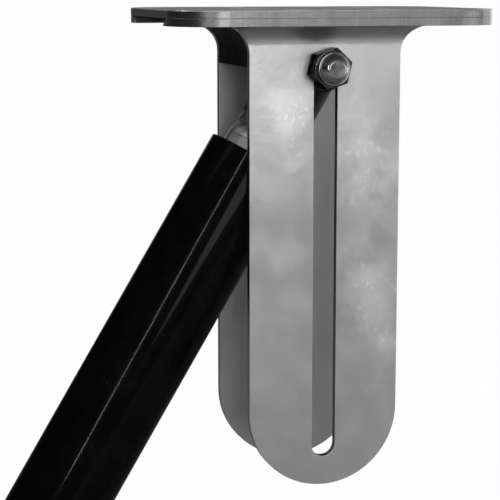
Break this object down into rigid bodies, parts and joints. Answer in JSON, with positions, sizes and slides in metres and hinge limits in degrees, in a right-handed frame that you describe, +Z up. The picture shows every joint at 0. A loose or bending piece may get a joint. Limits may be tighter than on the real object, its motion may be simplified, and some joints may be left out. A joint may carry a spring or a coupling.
{
  "type": "bow roller",
  "caption": "Bow roller arm: a long black roller on a steel spindle, pivoting on a bolt that slides in the slots of a bent stainless under-deck bracket.",
  "frame": {"origin": "centre of the mounting plate's top face", "axes": "+Z up out of the mounting face, X along the faces of the two cheeks, Y across them; the front cheek with the nut is at -Y and the arm leans towards -X"},
  "size_m": [0.266, 0.13, 0.3087],
  "materials": {
    "brushed_stainless": "satin stainless sheet with light handling marks",
    "fastener_steel": "bright drawn stainless",
    "polished_nut": "polished stainless",
    "tube_steel": "satin drawn tube",
    "black_gloss": "glossy black",
    "black_nylon": "moulded satin black",
    "black_rubber": "matt moulded rubber",
    "nylon_ring": "natural nylon",
    "acetal": "natural acetal",
    "bearing_bronze": "machined bronze",
    "insert_brass": "machined brass"
  },
  "bodies": {
    "bracket": {"top_plate": "brushed_stainless", "front_cheek": "brushed_stainless", "rear_cheek": "brushed_stainless", "plate_screws": "fastener_steel", "left_stop_block": "black_rubber", "right_stop_block": "black_rubber", "stop_inserts": "insert_brass", "stop_screws": "fastener_steel"},
    "carriage": {"pivot_bolt": "fastener_steel", "head_washer": "fastener_steel", "cap_nut": "polished_nut", "cap_dome": "polished_nut", "nut_insert": "nylon_ring", "pivot_bush": "bearing_bronze", "front_spacer": "black_nylon", "rear_spacer": "black_nylon"},
    "arm": {"eye_end": "black_nylon", "neck_ring": "tube_steel", "tube_shoulder": "tube_steel", "spindle_tube": "tube_steel", "eye_pin": "fastener_steel", "thrust_collars": "fastener_steel", "end_plug": "fastener_steel", "end_washer": "fastener_steel", "end_bolt": "fastener_steel"},
    "roller": {"roller_sleeve": "black_gloss", "upper_bearing": "acetal", "lower_bearing": "acetal"}
  },
  "joints": [
    {"name": "bolt_slide", "type": "slide", "parent": "bracket", "child": "carriage", "axis": [0, 0, -1], "range_m": [0, 0.2]},
    {"name": "arm_swing", "type": "hinge", "parent": "carriage", "child": "arm", "pos_m": [0, 0, -0.03], "axis": [0, 1, 0], "range_deg": [-71, 9]},
    {"name": "roller_spin", "type": "hinge", "parent": "arm", "child": "roller", "pos_m": [0, 0, -0.03], "axis": [-0.515, 0, -0.8572], "continuous": true}
  ]
}
